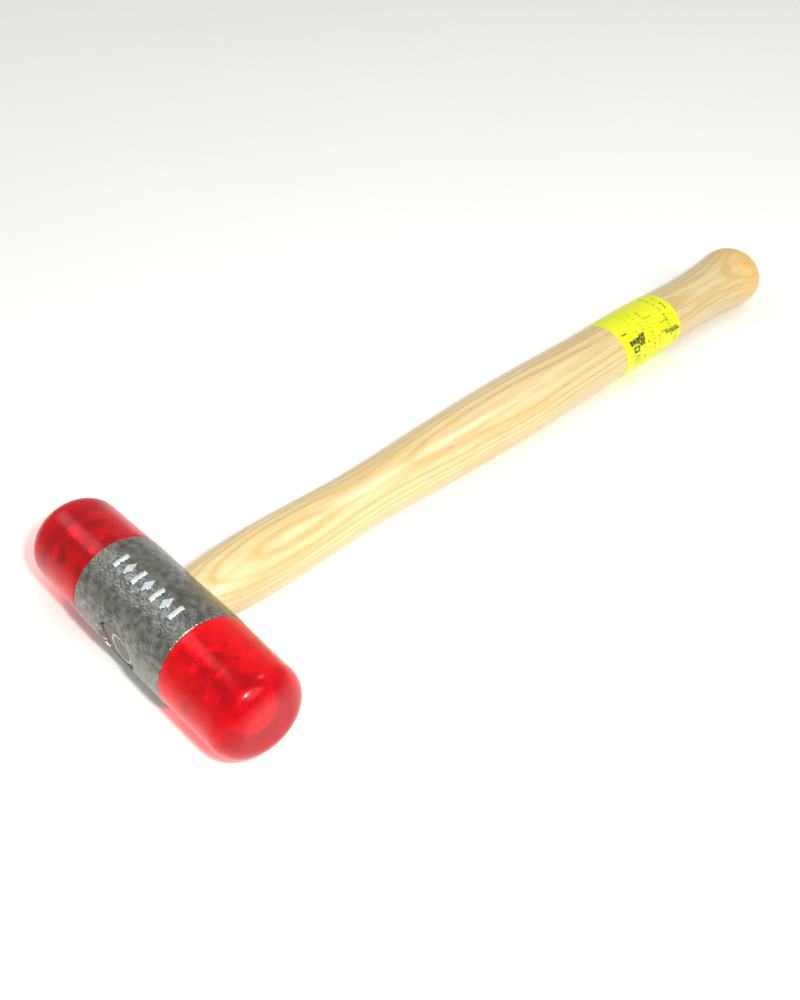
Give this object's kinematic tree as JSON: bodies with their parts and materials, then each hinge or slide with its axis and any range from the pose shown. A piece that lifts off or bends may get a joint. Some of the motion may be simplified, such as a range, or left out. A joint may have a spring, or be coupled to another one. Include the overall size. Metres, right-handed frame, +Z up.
{
  "type": "soft face mallet",
  "caption": "Metalworker's soft mallet: clear red plastic faces on steel studs screw into a cast housing, on an oval ash handle locked by a ring wedge.",
  "frame": {"origin": "under the middle of the hammer's outline, on the flat surface that it lies on", "axes": "+X along the head towards the front face, +Y along the handle towards its end, +Z up from the surface it lies on. The handle slopes down by under one degree, because the housing and the butt both touch the surface."},
  "size_m": [0.1076, 0.3242, 0.0328],
  "materials": {
    "zinc_casting": "zinc plated casting with a fine grainy skin",
    "red_acetate": "clear red cellulose acetate, polished",
    "stud_steel": "zinc plated turned steel",
    "ash_wood": "clear lacquer",
    "wedge_steel": "bare steel tube",
    "label_paper": "glossy yellow paper"
  },
  "bodies": {
    "hammer": {"head_housing": "zinc_casting", "handle": "ash_wood", "ring_wedge": "wedge_steel", "label": "label_paper"},
    "front_screw": {"front_stud": "stud_steel"},
    "front_striker": {"front_face": "red_acetate"},
    "back_screw": {"back_stud": "stud_steel"},
    "back_striker": {"back_face": "red_acetate"}
  },
  "joints": [
    {"name": "front_stud_travel", "type": "slide", "parent": "hammer", "child": "front_screw", "axis": [1, 0, 0], "range_m": [0, 0.0105]},
    {"name": "front_face_turn", "type": "hinge", "parent": "front_screw", "child": "front_striker", "pos_m": [0.02275, -0.14589, 0.0162], "axis": [1, 0, 0], "range_deg": [0, 2520]},
    {"name": "back_stud_travel", "type": "slide", "parent": "hammer", "child": "back_screw", "axis": [-1, 0, 0], "range_m": [0, 0.0105]},
    {"name": "back_face_turn", "type": "hinge", "parent": "back_screw", "child": "back_striker", "pos_m": [-0.02275, -0.14589, 0.0162], "axis": [-1, 0, 0], "range_deg": [0, 2520]}
  ],
  "couplings": [
    {"joint": "front_stud_travel", "follows": "front_face_turn", "m_per_rad": 0.00023873},
    {"joint": "back_stud_travel", "follows": "back_face_turn", "m_per_rad": 0.00023873}
  ]
}
